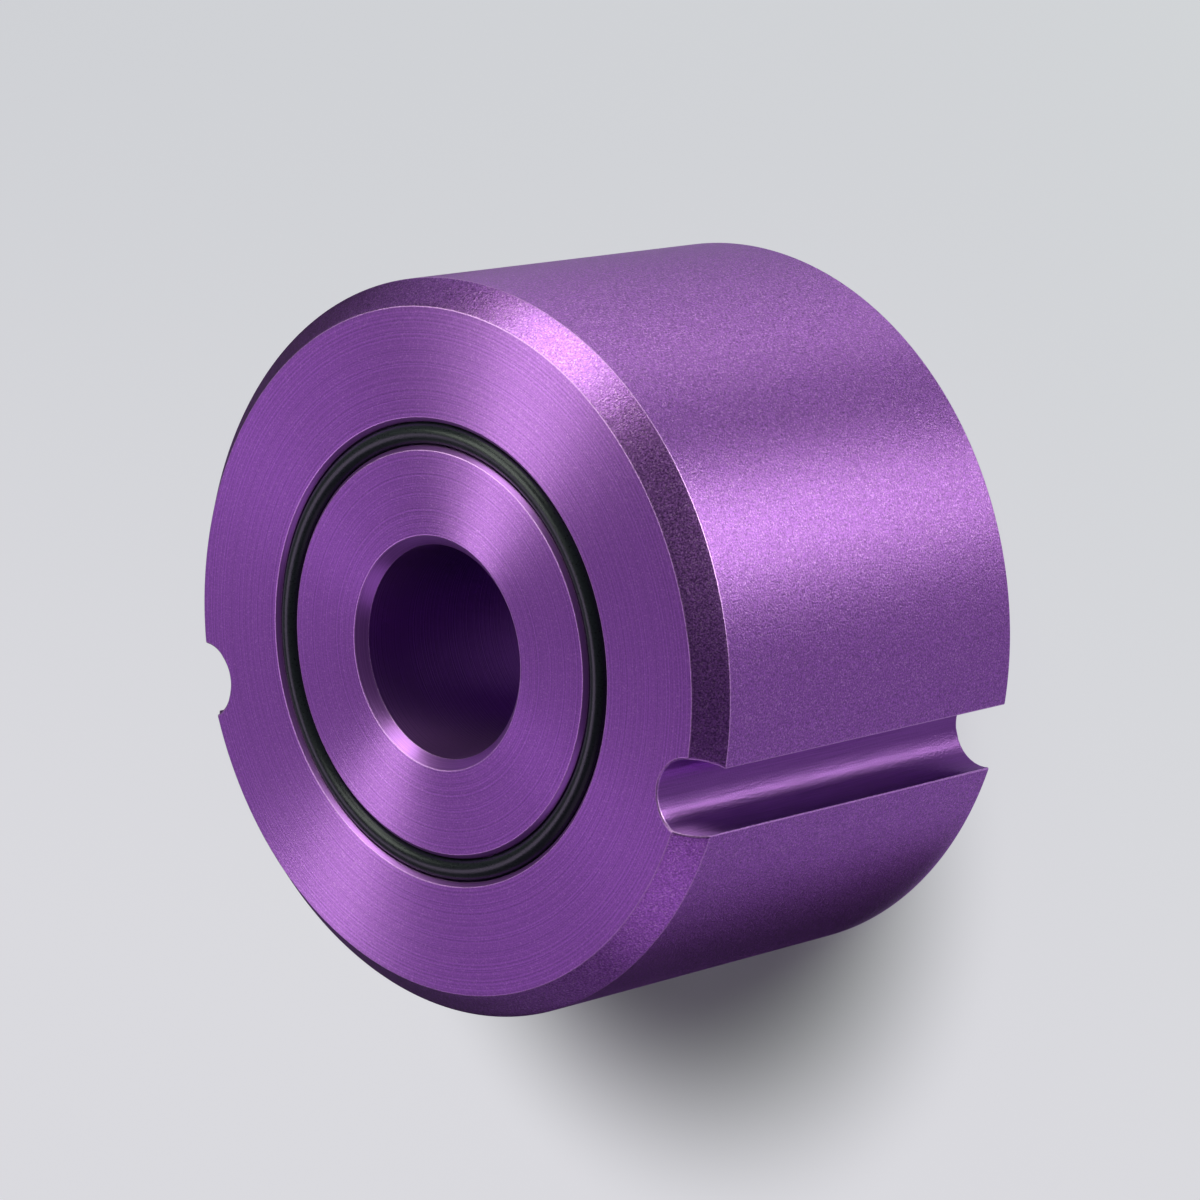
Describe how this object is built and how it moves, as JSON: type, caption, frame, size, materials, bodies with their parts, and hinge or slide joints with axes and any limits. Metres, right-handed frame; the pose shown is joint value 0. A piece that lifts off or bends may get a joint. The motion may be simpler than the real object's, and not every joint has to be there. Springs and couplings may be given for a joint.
{
  "type": "fluted turned bush with face seal",
  "caption": "Short turned aluminium cylinder with a through bore, round-bottomed flutes along its outside, a chamfered front end and a rubber seal ring in a groove in its front face.",
  "frame": {"origin": "on the turning axis, at the plain back end that the part stands on", "axes": "+Z along the turning axis, from the back end to the front face with the seal ring; the flutes mirror each other in X and lie towards -Y"},
  "size_m": [0.05, 0.05, 0.0301],
  "materials": {
    "anodised_aluminium": "purple anodised, bead-blasted outside, finely turned front face",
    "seal_rubber": "satin black"
  },
  "bodies": {
    "root": {"body": "anodised_aluminium", "o_ring": "seal_rubber"}
  },
  "joints": []
}
